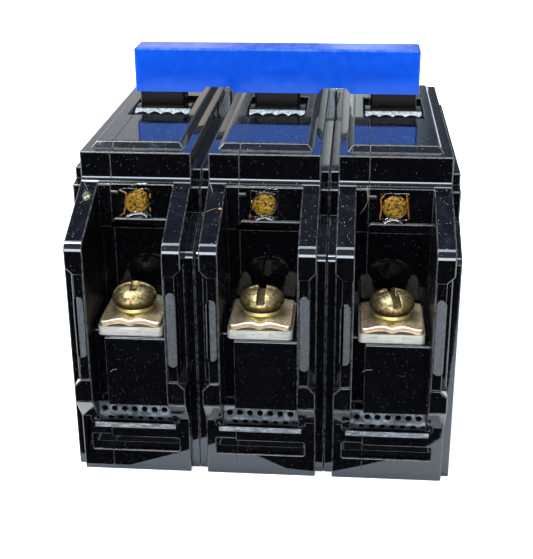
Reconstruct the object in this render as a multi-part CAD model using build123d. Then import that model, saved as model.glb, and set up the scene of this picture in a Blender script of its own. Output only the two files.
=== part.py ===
"""Three-pole miniature circuit breaker with a common handle tie.

Frame: X across the poles, Y from the load end (-Y) to the line end (+Y), Z up from the base.
The origin is the bottom centre of the outer box. All sizes are in millimetres.
"""
from build123d import *
import os
from math import atan2, cos, degrees, hypot, radians, sin

# ---- overall sizes -------------------------------------------------------
POLES = (1, 2, 3)
POLE_PITCH = 25.0
HALF_LENGTH = 47.0            # wings of the terminal compartments
BODY_HALF_WIDTH = 10.85       # one pole's body; the shoulders fill the rest of the pitch
SHOULDER_HALF_WIDTH = POLE_PITCH / 2
PARTING_X = -4.9              # plane where the cover shell meets the base shell

# ---- case outline, as Y distance from the middle and Z height ------------
FOOT_Y = 43.1
FOOT_TOP = 12.2
UNDERCUT_TOP = 17.5
WING_TOP = 49.9
FRONT_FACE_Y = 30.1
SLOPE_TOP = 57.4
SHELF_Z = 63.0
PLATEAU_Z = 64.2
PLATEAU_HALF_X = 9.3
PLATEAU_HALF_Y = 27.4
PLATEAU_BEVEL = 1.1
SHOULDER_Y = 41.3
SHOULDER_BEND_Z = 46.5
SHOULDER_STEP_Y = 30.6
SHOULDER_NECK_Y = 27.8
SHOULDER_TOP = 59.2
REAR_RIB_Y = (24.5, 27.8)     # rib on the rear of the shoulders that face another pole
REAR_RIB_TOP = 62.8

# ---- terminal compartment ------------------------------------------------
OPENING_HALF_X = 7.3
UPPER_WALL_Y = 31.3
BACK_WALL_Y = 29.9
WALL_STEP_Z = 48.0
STRAP_SEAT_Z = 30.3
RIDGE_PROUD = 0.5             # ridge along the foot of the upper wall
RIDGE_TOP = 50.1
BLOCK_FRONT_Y = 44.2
BLOCK_BOTTOM_Z = 15.45
NOSE_R = 0.4                  # rounding of the block's top edge
POCKET_BACK_Y = 41.0          # narrow pocket beside the block, in the cover shell
LIP_Z = 10.65                 # top of the foot's front lip
LIP_SLOPE = (0.35, 0.9)        # depth and height of the slope on the lip's front
LIP_LEFT, LIP_RIGHT = -8.9, 8.6
NOTCH_LOW, NOTCH_HIGH = 22.2, 44.2
NOTCH_X = 9.5
NOTCH_DEPTH = 4.0
PAD_PROUD = 0.3
CLIP_SLOT = (4.7, 7.6)        # bottom and top of the mounting clip slot
CLIP_SLOT_COVER_TOP = 8.15    # its top in the cover shell
CLIP_SLOT_DEPTH = 3.0

# ---- cavity --------------------------------------------------------------
CAVITY_HALF_X = 8.8
CAVITY_Y = 27.9
CAVITY_FLOOR = 4.0
CAVITY_TOP = 60.8
VENT_CHANNEL = (9.8, 15.8)
SCREEN_Y = 42.95              # outer face of the vent screen's upright part
SCREEN_THICK = 0.5
SCREEN_TOP = 15.43
SCREEN_BEND_Z = 12.9

# ---- terminals -----------------------------------------------------------
STRAP_HALF_X = 6.3
STRAP_THICK = 1.8
STRAP_END_Y = 43.4
SCREW_Y = 37.4
SHANK_R = 2.5
THREAD_CLEARANCE = 0.05
HEAD_R = 4.35                 # widest part of the domed head
HEAD_SEAT_R = 3.7             # underside of the head
HEAD_BULGE = 1.25             # height of the widest part above the underside
HEAD_DOME = 2.7               # height of the dome above the widest part
SLOT_WIDTH, SLOT_DEPTH = 1.5, 2.1
CROSS_WIDTH, CROSS_DEPTH = 1.3, 1.3
CLAMP_HALF_X = 5.95
CLAMP_Y = (30.6, 43.3)
CLAMP_THICK = 1.1
CLAMP_WAVE = 0.6              # height of the two wire channels under the clamp plate
CLAMP_WAVE_DIP = 0.17         # height of the ridge between them
WASHER_SEAT = 1.72            # height of the washer's seat above the strap
WASHER_R = 3.7
WASHER_THICK = 0.95
SCREW_LENGTH = 8.6
SLOT_ANGLES = {"load": (96.0, 0.0, 15.0), "line": (32.0, -20.0, 8.0)}

# ---- handle --------------------------------------------------------------
HANDLE_Y, HANDLE_Z = 4.2, 52.0
DRUM_R = 12.1
DRUM_X = (-5.8, 6.2)
DRUM_HALF_ANGLE = 75.0
TRUNNION_R = 2.0
LEVER_X = (-4.7, 5.0)
LEVER_Y = (1.8, 7.5)
TIE_HALF_X = 30.5
TIE_Y = (0.8, 8.5)
TIE_Z = (67.7, 77.1)
SLOT_X = (-6.1, 6.5)
SLOT_Y = (-5.6, 13.0)
RUNNING = 0.06                # radial clearance of running fits

# ---- mechanism -----------------------------------------------------------
ARM_PIVOT = (4.2, 44.0)
ARM_TIP = (10.7, 21.6)
ARM_X = (-1.6, 2.0)
TIP_R = 1.9
FIXED_TIP_Y = 16.2
CRADLE_PIVOT = (16.5, 45.0)
CRADLE_TIP = (-11.0, 37.0)
CRADLE_X = (4.4, 5.9)
ARMATURE_PIVOT = (-15.2, 50.5)
TRIP_BAR = (-21.0, 55.5)
TRIP_BAR_R = 1.8
CALIBRATION = (0.1, 53.3)     # X and Z of the sealed adjusting hole
CALIBRATION_R = 2.15
RIVETS = ((25.2, 45.5), (35.5, 19.5))
RIVET_R = 2.0
RIVET_HEAD_R = 3.4

os.makedirs("parts", exist_ok=True)


# ---- helpers -------------------------------------------------------------
def pole_x(pole):
    return (pole - 2) * POLE_PITCH


def prism(points, x_low, x_high):
    """A polygon of (Y, Z) points, stretched along X."""
    face = make_face(Polyline(*points, close=True))
    return extrude(Plane.YZ.offset(x_low) * face, amount=x_high - x_low)


def block(x, y, z):
    """A box given by its low and high limits along each axis."""
    size = [high - low for low, high in (x, y, z)]
    middle = [(high + low) / 2 for low, high in (x, y, z)]
    return Pos(*middle) * Box(*size)


def rod_x(y, z, radius, x_low, x_high):
    """A cylinder along X."""
    return extrude(Plane.YZ.offset(x_low) * Pos(y, z) * Circle(radius), amount=x_high - x_low)


def rod_y(x, z, radius, y_low, y_high):
    """A cylinder along Y."""
    middle = (y_low + y_high) / 2
    return Pos(x, middle, z) * Rot(90, 0, 0) * Cylinder(radius, y_high - y_low)


def rod_z(x, y, radius, z_low, z_high):
    """A cylinder along Z."""
    return Pos(x, y, (z_low + z_high) / 2) * Cylinder(radius, z_high - z_low)


def bar(start, end, half_width, x_low, x_high):
    """A straight link with round ends between two (Y, Z) points."""
    length = hypot(end[0] - start[0], end[1] - start[1])
    angle = degrees(atan2(end[1] - start[1], end[0] - start[0]))
    middle = ((start[0] + end[0]) / 2, (start[1] + end[1]) / 2)
    outline = Pos(*middle) * Rot(0, 0, angle) * SlotCenterToCenter(length, 2 * half_width)
    return extrude(Plane.YZ.offset(x_low) * outline, amount=x_high - x_low)


def line_end(shape):
    """The same shape at the line end."""
    return mirror(shape, about=Plane.XZ)


def both_ends(shape):
    return shape + line_end(shape)


def save(name, shapes):
    """Write one node: a single solid, or a group of separate solids."""
    solids = [solid for shape in shapes for solid in shape.solids()]
    export_step(Compound(label=name, children=solids), "parts/" + name + ".step")


# ---- case ----------------------------------------------------------------
def body_outline():
    front = [(-FOOT_Y, 0), (-FOOT_Y, FOOT_TOP), (-HALF_LENGTH, UNDERCUT_TOP), (-HALF_LENGTH, WING_TOP),
             (-FRONT_FACE_Y, SLOPE_TOP), (-FRONT_FACE_Y, SHELF_Z)]
    face = make_face(Polyline(*front, *[(-y, z) for y, z in reversed(front)], close=True))
    bends = [v for v in face.vertices() if abs(v.Y - WING_TOP) < 0.01]
    face = fillet(bends, 2.4)
    roots = [v for v in face.vertices() if abs(v.Y - SLOPE_TOP) < 0.01]
    return fillet(roots, 1.3)


def shoulder_outline():
    front = [(-SHOULDER_Y, 0), (-SHOULDER_Y, SHOULDER_BEND_Z), (-SHOULDER_STEP_Y, 51.2),
             (-SHOULDER_STEP_Y, 56.4), (-SHOULDER_NECK_Y, 56.9), (-SHOULDER_NECK_Y, SHOULDER_TOP)]
    face = make_face(Polyline(*front, *[(-y, z) for y, z in reversed(front)], close=True))
    bends = [v for v in face.vertices() if abs(v.Y - SHOULDER_BEND_Z) < 0.01]
    return fillet(bends, 1.5)


def nose_cut(y, z, radius, x_low, x_high):
    """What is cut away to round the upper front edge of a ledge whose edge is at y and z."""
    corner = block((x_low, x_high), (y - 0.5, y + radius), (z - radius, z + 0.5))
    return corner - rod_x(y + radius, z - radius, radius, x_low - 1, x_high + 1)


def compartment():
    """Everything that is open at the load end: terminal space, side pocket, vent pocket, clip slot."""
    reach = HALF_LENGTH + 3
    x = OPENING_HALF_X
    space = prism([(-reach, STRAP_SEAT_Z), (-BACK_WALL_Y, STRAP_SEAT_Z), (-BACK_WALL_Y, WALL_STEP_Z),
                   (-UPPER_WALL_Y, WALL_STEP_Z), (-UPPER_WALL_Y, SHELF_Z), (-reach, SHELF_Z)], -x, x)
    above_block = block((PARTING_X, x), (-reach, -BLOCK_FRONT_Y), (BLOCK_BOTTOM_Z - 1, STRAP_SEAT_Z + 1))
    side_pocket = block((-x, PARTING_X), (-reach, -POCKET_BACK_Y), (BLOCK_BOTTOM_Z - 1, STRAP_SEAT_Z + 1))
    vent_pocket = block((-x, x), (-reach, -FOOT_Y + 1.9), (LIP_Z, BLOCK_BOTTOM_Z))
    lip_pocket = block((LIP_LEFT, LIP_RIGHT), (-reach, -FOOT_Y + 1.0), (LIP_Z, FOOT_TOP))
    lip_pocket = fillet(lip_pocket.edges().filter_by(Axis.Y).group_by(Axis.Z)[0], 0.8)
    clip_slot = block((LIP_LEFT, LIP_RIGHT), (-reach, -FOOT_Y + CLIP_SLOT_DEPTH), CLIP_SLOT)
    clip_slot += block((LIP_LEFT, PARTING_X), (-reach, -FOOT_Y + CLIP_SLOT_DEPTH), (CLIP_SLOT[0], CLIP_SLOT_COVER_TOP))
    clip_slot = fillet(clip_slot.edges().filter_by(Axis.Y).group_by(Axis.X)[0], 0.35)
    clip_slot = fillet(clip_slot.edges().filter_by(Axis.Y).group_by(Axis.X)[-1], 0.35)
    channel = block((-6.6, 6.6), (-42.0, -CAVITY_Y + 1), VENT_CHANNEL)
    block_nose = nose_cut(-BLOCK_FRONT_Y, STRAP_SEAT_Z, NOSE_R, PARTING_X, x)
    deep, high = LIP_SLOPE
    lip_nose = prism([(-FOOT_Y, LIP_Z - high), (-FOOT_Y + deep, LIP_Z), (-FOOT_Y + deep, LIP_Z + 0.2),
                      (-FOOT_Y - 0.5, LIP_Z + 0.2), (-FOOT_Y - 0.5, LIP_Z - high)], LIP_LEFT + 0.6, LIP_RIGHT - 0.6)
    return (space + above_block + side_pocket + vent_pocket + lip_pocket + clip_slot + channel
            + block_nose + lip_nose)


def wing_notches():
    """Outer corner notches of both wings, and the shallow flats between them and the opening."""
    cuts = None
    for side in (-1, 1):
        rise = BODY_HALF_WIDTH + 1 - NOTCH_X
        inner, outer = side * NOTCH_X, side * (NOTCH_X + rise)
        corners = [(inner, NOTCH_LOW), (outer, NOTCH_LOW - rise), (outer, NOTCH_HIGH + rise), (inner, NOTCH_HIGH)]
        face = make_face(Polyline(*corners, close=True))
        notch = extrude(Plane.XZ.offset(HALF_LENGTH + 1) * face, amount=-(NOTCH_DEPTH + 1))
        flat_x = sorted((side * (OPENING_HALF_X + 0.35), side * (NOTCH_X + 0.1)))
        flat = block(flat_x, (-HALF_LENGTH - 1, -HALF_LENGTH + 0.45), (NOTCH_LOW, NOTCH_HIGH))
        cuts = notch + flat if cuts is None else cuts + notch + flat
    return cuts


def wall_ridge():
    """Ridge along the foot of the upper wall and a small lug above it, both at the parting line."""
    ridge = block((PARTING_X, OPENING_HALF_X + 0.2), (-UPPER_WALL_Y - RIDGE_PROUD, -UPPER_WALL_Y + 0.2),
                  (WALL_STEP_Z, RIDGE_TOP))
    ridge = fillet(ridge.edges().filter_by(Axis.Y).group_by(Axis.X)[0].sort_by(Axis.Z)[-1], 0.8)
    lug = block((PARTING_X, PARTING_X + 1.5), (-UPPER_WALL_Y - 0.2, -UPPER_WALL_Y + 0.2), (54.9, 55.6))
    return ridge + lug


def gate_pads():
    """Raised oval pads left by the moulding gates on the flats of the wings."""
    pads = None
    for x, low, high, width in ((-8.8, 27.0, 39.5, 2.0), (8.65, 25.5, 40.8, 1.9)):
        outline = Pos(x, (low + high) / 2) * Rot(0, 0, 90) * SlotOverall(high - low, width)
        face_y = HALF_LENGTH - 0.45 + PAD_PROUD
        pad = extrude(Plane.XZ.offset(face_y) * outline, amount=-(PAD_PROUD + 0.3))
        pads = pad if pads is None else pads + pad
    return pads


def cavity():
    """The mechanism space, with posts left around the upper rivets."""
    corner = [(-CAVITY_Y, CAVITY_FLOOR), (-CAVITY_Y, 52.5), (-24.0, 58.5), (-22.0, CAVITY_TOP)]
    room = prism(corner + [(-y, z) for y, z in reversed(corner)], -CAVITY_HALF_X, CAVITY_HALF_X)
    for y, z in ((-RIVETS[0][0], RIVETS[0][1]), RIVETS[0]):
        room -= rod_x(y, z, RIVET_R + 1.4, -CAVITY_HALF_X, CAVITY_HALF_X)
        outside = sorted((y, y + (6 if y > 0 else -6)))
        room -= block((-CAVITY_HALF_X, CAVITY_HALF_X), outside, (z - 1.5, z + 1.5))
    return room


def pole_case():
    """One pole's case before it is split into its two shells, at the middle pole's place."""
    case = extrude(Plane.YZ.offset(-BODY_HALF_WIDTH) * body_outline(), amount=2 * BODY_HALF_WIDTH)
    case += extrude(Plane.YZ.offset(-SHOULDER_HALF_WIDTH) * shoulder_outline(),
                    amount=2 * SHOULDER_HALF_WIDTH)
    rise = PLATEAU_Z - SHELF_Z
    base = Pos(0, 0, SHELF_Z) * Rectangle(2 * PLATEAU_HALF_X, 2 * PLATEAU_HALF_Y)
    case += extrude(base, amount=rise, taper=degrees(atan2(PLATEAU_BEVEL, rise)))
    case -= both_ends(compartment())
    case -= both_ends(wing_notches())
    case += both_ends(gate_pads())
    case += both_ends(wall_ridge())
    case -= cavity()
    case -= block(SLOT_X, SLOT_Y, (CAVITY_TOP - 1, PLATEAU_Z + 1))
    for x_low, x_high in ((-CAVITY_HALF_X, DRUM_X[0] - 0.3), (DRUM_X[1] + 0.3, CAVITY_HALF_X)):
        case += rod_x(HANDLE_Y, HANDLE_Z, TRUNNION_R + 1.6, x_low, x_high)
    case -= rod_x(HANDLE_Y, HANDLE_Z, TRUNNION_R + RUNNING, -10.2, 10.2)
    return case


def terminal_holes():
    """Strap slot through the end wall and blind screw hole in the block, at the load end."""
    gap = 0.05
    strap = block((-STRAP_HALF_X - gap, STRAP_HALF_X + gap), (-BACK_WALL_Y - 1, -CAVITY_Y + 1),
                  (STRAP_SEAT_Z, STRAP_SEAT_Z + STRAP_THICK + gap))
    return strap + rod_z(0, -SCREW_Y, SHANK_R + 0.4, 24.2, STRAP_SEAT_Z + 1)


def shared_holes(pole):
    """Rivet, trip bar, pin and adjusting holes of one pole, at the middle pole's place."""
    reach = SHOULDER_HALF_WIDTH + 1
    cuts = rod_y(CALIBRATION[0], CALIBRATION[1], CALIBRATION_R, -UPPER_WALL_Y - 1, -CAVITY_Y + 3)
    for side in (-1, 1):
        for y, z in RIVETS:
            cuts += rod_x(side * y, z, RIVET_R + 0.03, -reach, reach)
            if pole == 1:
                cuts += rod_x(side * y, z, RIVET_HEAD_R + 0.1, -reach, -SHOULDER_HALF_WIDTH + 1.0)
            if pole == 3:
                cuts += rod_x(side * y, z, RIVET_HEAD_R + 0.1, SHOULDER_HALF_WIDTH - 1.0, reach)
    bar_low = -10.6 if pole == 1 else -reach
    bar_high = 10.6 if pole == 3 else reach
    cuts += rod_x(*TRIP_BAR, TRIP_BAR_R + RUNNING, bar_low, bar_high)
    cuts += rod_x(*CRADLE_PIVOT, 1.22, 0, 10.2)
    cuts += rod_x(*ARMATURE_PIVOT, 1.02, -10.2, 10.2)
    return cuts


def rear_ribs(pole):
    """Ribs at the rear of the shoulders that face another pole, which close the gap between two bodies."""
    sides = {1: (1,), 2: (-1, 1), 3: (-1,)}[pole]
    inner, outer = BODY_HALF_WIDTH - 0.85, SHOULDER_HALF_WIDTH
    return [block(sorted((side * inner, side * outer)), REAR_RIB_Y, (SHOULDER_TOP - 1, REAR_RIB_TOP))
            for side in sides]


def make_cases():
    blank = pole_case() - both_ends(terminal_holes())
    for pole in POLES:
        case = blank + rear_ribs(pole) - shared_holes(pole)
        case = Pos(pole_x(pole), 0, 0) * case
        split_x = pole_x(pole) + PARTING_X
        left = block((split_x - 20, split_x), (-60, 60), (-5, 90))
        right = block((split_x, split_x + 30), (-60, 60), (-5, 90))
        save(f"cover_shell_{pole}", [case & left])
        save(f"base_shell_{pole}", [case & right])


def make_rivets():
    """Tubular rivets that hold the three poles together, with rolled heads sunk in the side faces."""
    half = 1.5 * POLE_PITCH
    rivets = []
    for side in (-1, 1):
        for y, z in RIVETS:
            rivet = rod_x(side * y, z, RIVET_R, -half + 0.4, half - 0.4)
            for end in (-1, 1):
                low, high = sorted((end * (half - 0.95), end * (half - 0.1)))
                head = rod_x(side * y, z, RIVET_HEAD_R, low, high)
                rivet += fillet(head.edges().filter_by(GeomType.CIRCLE).group_by(Axis.X)[end], 0.4)
                low, high = sorted((end * (half - 2.5), end * (half + 1)))
                rivet -= rod_x(side * y, z, 1.1, low, high)
            rivets.append(rivet)
    save("case_rivets", rivets)


def vent_screen():
    """Bent perforated sheet in front of the vent channel, at the load end of the middle pole."""
    outer = [(-SCREEN_Y, SCREEN_TOP), (-SCREEN_Y, SCREEN_BEND_Z), (-SCREEN_Y + 1.2, LIP_Z + 0.02)]
    inner = [(y + SCREEN_THICK, z) for y, z in reversed(outer)]
    sheet = prism(outer + inner, -OPENING_HALF_X + 0.05, OPENING_HALF_X - 0.05)
    for z, x_start in ((14.0, -6.1), (11.6, -5.1)):
        for hole in range(7):
            sheet -= rod_y(x_start + 2.0 * hole, z, 0.62, -44, -39)
    return sheet


def make_vent_screens():
    screens = both_ends(vent_screen())
    for pole in POLES:
        save(f"vent_screen_{pole}", [Pos(pole_x(pole), 0, 0) * screens])


# ---- terminals and current path ------------------------------------------
def end_tab():
    """Low step left on the strap's end where it was cut off, at the load end."""
    corners = [(-2.9, STRAP_SEAT_Z + 1.55), (-2.5, STRAP_SEAT_Z + 0.15), (1.9, STRAP_SEAT_Z + 0.15),
               (1.95, STRAP_SEAT_Z + 1.55)]
    face = make_face(Polyline(*corners, close=True))
    return extrude(Plane.XZ.offset(STRAP_END_Y + 0.15) * face, amount=-0.35)


def load_strap():
    """Terminal strap that steps down inside the case and carries the bimetal and the yoke."""
    top = STRAP_SEAT_Z + STRAP_THICK
    half = STRAP_HALF_X
    tongue = block((-half, half), (-STRAP_END_Y, -26.0), (STRAP_SEAT_Z, top))
    tongue = fillet(tongue.edges().filter_by(Axis.Z).group_by(Axis.Y)[0], 0.9)
    tongue += end_tab()
    riser = block((-5.0, 5.6), (-27.8, -26.0), (22.0, top))
    shelf = block((-5.0, 5.6), (-27.8, -18.0), (22.0, 23.8))
    strap = tongue + riser + shelf
    return strap - rod_z(0, -SCREW_Y, SHANK_R + THREAD_CLEARANCE, 20, 40)


def line_strap():
    """Terminal strap of the line end with the fixed contact at its inner end."""
    top = STRAP_SEAT_Z + STRAP_THICK
    half = STRAP_HALF_X
    back = FIXED_TIP_Y + 1.2
    tongue = block((-half, half), (back, STRAP_END_Y), (STRAP_SEAT_Z, top))
    tongue = fillet(tongue.edges().filter_by(Axis.Z).group_by(Axis.Y)[-1], 0.9)
    tongue += line_end(end_tab())
    leg = block((-3.4, 3.8), (back, back + STRAP_THICK), (20.0, top))
    strap = tongue + leg - rod_z(0, SCREW_Y, SHANK_R + THREAD_CLEARANCE, 20, 40)
    tip = rod_y(0.2, 24.3, 2.4, FIXED_TIP_Y, back)
    return [strap, tip]


def clamp_plate(end):
    """Square wire clamp, waved so that it has a wire channel on each side of the screw."""
    low, high = sorted((end * CLAMP_Y[0], end * CLAMP_Y[1]))
    floor = STRAP_SEAT_Z + STRAP_THICK
    half = CLAMP_HALF_X
    rise = [(5.2, 0), (3.8, CLAMP_WAVE / 2), (2.2, CLAMP_WAVE), (1.1, 0.85 * CLAMP_WAVE), (0, CLAMP_WAVE_DIP)]
    wave = [(-x, z) for x, z in rise] + [(x, z) for x, z in reversed(rise[:-1])]
    flat = ((1, 0), (1, 0))
    under = Spline(*[(x, floor + z) for x, z in wave], tangents=flat)
    over = Spline(*[(x, floor + CLAMP_THICK + z) for x, z in wave], tangents=flat)
    left = Polyline(under @ 0, (-half, floor), (-half, floor + CLAMP_THICK), over @ 0)
    right = Polyline(under @ 1, (half, floor), (half, floor + CLAMP_THICK), over @ 1)
    face = make_face(under + over + left + right)
    plate = extrude(Plane.XZ.offset(-high) * face, amount=high - low)
    plate = fillet(plate.edges().filter_by(Axis.Z), 0.8)
    return plate - rod_z(0, end * SCREW_Y, SHANK_R + 0.25, floor - 1, floor + 3)


def spring_washer(end):
    """Split lock washer between the clamp plate and the screw head."""
    low = STRAP_SEAT_Z + STRAP_THICK + WASHER_SEAT
    ring = rod_z(0, end * SCREW_Y, WASHER_R, low, low + WASHER_THICK)
    ring = fillet(ring.edges().filter_by(GeomType.CIRCLE), 0.3)
    ring -= rod_z(0, end * SCREW_Y, SHANK_R + 0.25, low - 1, low + 2)
    split = Pos(0, end * SCREW_Y, low) * Rot(0, 0, 130) * Pos(3.5, 0, 0) * Rot(30, 0, 0) * Box(4, 0.5, 4)
    return ring - split


def terminal_screw(end, slot_angle):
    """Terminal screw with a bulging domed head, a slot right across it and a shallow cross."""
    head_z = STRAP_SEAT_Z + STRAP_THICK + WASHER_SEAT + WASHER_THICK
    wide_z = head_z + HEAD_BULGE
    top_z = wide_z + HEAD_DOME
    outline = Polyline((0, head_z - SCREW_LENGTH), (SHANK_R - 0.5, head_z - SCREW_LENGTH),
                       (SHANK_R, head_z - SCREW_LENGTH + 0.6), (SHANK_R, head_z), (HEAD_SEAT_R - 0.25, head_z),
                       (HEAD_SEAT_R, head_z + 0.25))
    bulge = ThreePointArc((HEAD_SEAT_R, head_z + 0.25), (HEAD_R - 0.18, head_z + 0.7), (HEAD_R, wide_z))
    dome = EllipticalCenterArc((0, wide_z), HEAD_R, HEAD_DOME)
    axis_line = Line((0, top_z), (0, head_z - SCREW_LENGTH))
    screw = revolve(Plane.XZ * make_face(outline + bulge + dome + axis_line), Axis.Z)
    slots = Box(SLOT_WIDTH, 12, 2 * SLOT_DEPTH) + Box(4.8, CROSS_WIDTH, 2 * CROSS_DEPTH)
    return Pos(0, end * SCREW_Y, 0) * (screw - Pos(0, 0, top_z) * Rot(0, 0, slot_angle) * slots)


def make_terminals():
    for pole in POLES:
        place = Pos(pole_x(pole), 0, 0)
        save(f"load_strap_{pole}", [place * load_strap()])
        save(f"line_strap_{pole}", [place * piece for piece in line_strap()])
        for name, end in (("load", -1), ("line", 1)):
            clamp = [place * clamp_plate(end), place * spring_washer(end)]
            save(f"{name}_clamp_{pole}", clamp)
            angle = SLOT_ANGLES[name][pole - 1]
            save(f"{name}_screw_{pole}", [place * terminal_screw(end, angle)])


# ---- trip unit -----------------------------------------------------------
def make_trip_unit():
    shelf_top = 23.8
    for pole in POLES:
        place = Pos(pole_x(pole), 0, 0)
        strip = block((-2.4, 3.0), (-21.0, -20.0), (shelf_top, 50.0))
        strip -= block((-0.2, 0.8), (-22, -19), (shelf_top + 6, 46.0))
        save(f"bimetal_{pole}", [place * strip])

        yoke = block((-5.0, 5.6), (-24.4, -17.8), (shelf_top, 37.0))
        yoke -= block((-3.8, 4.4), (-23.0, -16.0), (shelf_top - 1, 38.0))
        yoke -= block((-6.0, 6.6), (-22.6, -16.0), (shelf_top - 1, 27.0))
        save(f"magnet_yoke_{pole}", [place * yoke])

        y, z = ARMATURE_PIVOT
        plate = block((-4.8, 6.3), (y - 0.6, y + 0.6), (26.0, z))
        plate += rod_x(y, z, 1.4 + 0.5, -4.8, 6.3)
        plate -= rod_x(y, z, 1.0 + RUNNING, -6, 8)
        plate -= block((4.0, 7.0), (y - 1, y + 1), (42.2, 45.2))
        save(f"latch_armature_{pole}", [place * plate])

        y, z = CRADLE_PIVOT
        link = bar(CRADLE_PIVOT, CRADLE_TIP, 1.6, *CRADLE_X) + rod_x(y, z, 2.8, *CRADLE_X)
        link += rod_x(-4.6, 39.0, 0.9, -1.0, CRADLE_X[0] + 0.5)
        link -= rod_x(y, z, 1.2 + RUNNING, 3, 8)
        save(f"cradle_{pole}", [place * link])

    pins = []
    for pole in POLES:
        place = Pos(pole_x(pole), 0, 0)
        pins.append(place * rod_x(*CRADLE_PIVOT, 1.2, 3.4, 10.2))
        pins.append(place * rod_x(*ARMATURE_PIVOT, 1.0, -10.2, 10.2))
    save("mechanism_pins", pins)

    y, z = TRIP_BAR
    half = POLE_PITCH + 10.5
    trip_bar = rod_x(y, z, TRIP_BAR_R, -half, half)
    for pole in POLES:
        x = pole_x(pole)
        trip_bar += block((x - 1.8, x + 2.4), (-21.6, -17.9), (z - 0.6, z + 0.6))
        trip_bar += block((x - 1.8, x + 2.4), (-18.9, -17.9), (47.0, z + 0.6))
    save("trip_bar", [trip_bar])

    screws, seals = [], []
    x, z = CALIBRATION
    for pole in POLES:
        place = Pos(pole_x(pole), 0, 0)
        screw = rod_y(x, z, 2.0, -30.3, -24.0) - block((x - 2.2, x + 2.2), (-31.0, -29.3), (z - 0.4, z + 0.4))
        screws.append(place * screw)
        seals.append(place * rod_y(x, z, CALIBRATION_R - 0.02, -UPPER_WALL_Y - 0.15, -30.35))
    save("calibration_screws", screws)
    save("calibration_seals", seals)


# ---- switching mechanism -------------------------------------------------
def contact_arm():
    """Moving contact arm with its pivot pin in one piece, and the silver tip on its end."""
    eye = rod_x(*ARM_PIVOT, 1.1, -3.6, 4.0)
    tip = Pos(ARM_X[0] / 2 + ARM_X[1] / 2, *ARM_TIP) * Sphere(TIP_R)
    arm = bar(ARM_PIVOT, ARM_TIP, 1.3, *ARM_X) + rod_x(*ARM_PIVOT, 2.1, *ARM_X) + eye
    return [arm - tip, tip]


def handle():
    """Handle of one pole: drum sector with trunnions, lever above it and forked legs below."""
    y, z = HANDLE_Y, HANDLE_Z
    drum = rod_x(y, z, DRUM_R, *DRUM_X)
    reach = 20.0
    slope = radians(90 - DRUM_HALF_ANGLE)
    drop = reach * sin(slope)
    wedge = prism([(y, z), (y - reach * cos(slope), z + drop), (y - reach, z + drop), (y - reach, z - reach),
                   (y + reach, z - reach), (y + reach, z + drop), (y + reach * cos(slope), z + drop)],
                  DRUM_X[0] - 1, DRUM_X[1] + 1)
    drum = drum - wedge + rod_x(y, z, 3.9, *DRUM_X) + rod_x(y, z, TRUNNION_R, -10.0, 10.0)
    lever = block(LEVER_X, LEVER_Y, (z + 5, TIE_Z[1] - 1.0))
    lever = fillet(lever.edges().filter_by(Axis.Z), 0.5)
    body = drum + lever
    for low, high in ((-3.6, -2.0), (2.4, 4.0)):
        body += block((low, high), (ARM_PIVOT[0] - 2.4, ARM_PIVOT[0] + 2.4), (ARM_PIVOT[1] - 2.2, z))
    return body - rod_x(*ARM_PIVOT, 1.1 + RUNNING, -4, 5)


def handle_tie():
    """Bar across the three levers, with a pocket for each and notches over the gaps between poles."""
    half = TIE_HALF_X
    tie = block((-half, half), TIE_Y, TIE_Z)
    tie = fillet(tie.edges().filter_by(Axis.X).group_by(Axis.Z)[-1], 0.4)
    tie = fillet(tie.edges().filter_by(Axis.Z), 0.5)
    gap = 0.05
    pocket_y = (LEVER_Y[0] - gap, LEVER_Y[1] + gap)
    for pole in POLES:
        x = pole_x(pole)
        pocket_x = (x + LEVER_X[0] - gap, x + LEVER_X[1] + gap)
        tie -= block(pocket_x, pocket_y, (TIE_Z[0] - 1, TIE_Z[1] - 1.0 + gap))
    for x in (-POLE_PITCH / 2, POLE_PITCH / 2):
        corners = [(x - 3.55, TIE_Z[0] - 0.1), (x - 2.5, TIE_Z[0] + 1.15),
                   (x + 2.5, TIE_Z[0] + 1.15), (x + 3.55, TIE_Z[0] - 0.1)]
        notch = extrude(Plane.XZ * make_face(Polyline(*corners, close=True)), amount=-20)
        tie -= notch
    return tie


def arc_chute():
    """Stack of notched steel plates between two fibre side sheets, under the contacts."""
    stack = [block((-8.2, -7.4), (1.0, 26.0), (5.0, 18.6)), block((7.4, 8.2), (1.0, 26.0), (5.0, 18.6))]
    notch = [(-2.2, 19.5), (0, 11.5), (2.2, 19.5)]
    cut = extrude(Plane.XZ.offset(-40) * make_face(Polyline(*notch, close=True)), amount=60)
    for index in range(6):
        y = 3.0 + 3.9 * index
        stack.append(block((-7.4, 7.4), (y, y + 1.2), (5.6, 18.0)) - cut)
    return stack


def coil_spring(start, end, coil_r, wire_r, turns):
    """Tension spring between two points, wound as a helix."""
    line = Vector(*end) - Vector(*start)
    helix = Helix(pitch=line.length / turns, height=line.length, radius=coil_r)
    wire = sweep(Plane(origin=helix @ 0, z_dir=helix % 0) * Circle(wire_r), path=helix, is_frenet=True)
    return Plane(origin=start, z_dir=line.normalized()) * wire


def braid():
    """Flexible copper braid from the bimetal to the moving contact arm."""
    points = [(-2.45, -20.5, 46.5), (-6.6, -20.5, 46.5), (-6.6, 6.2, 37.0), (-1.65, 6.2, 37.0)]
    path = FilletPolyline(*points, radius=1.8)
    return sweep(Plane(origin=path @ 0, z_dir=path % 0) * Circle(0.85), path=path)


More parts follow.
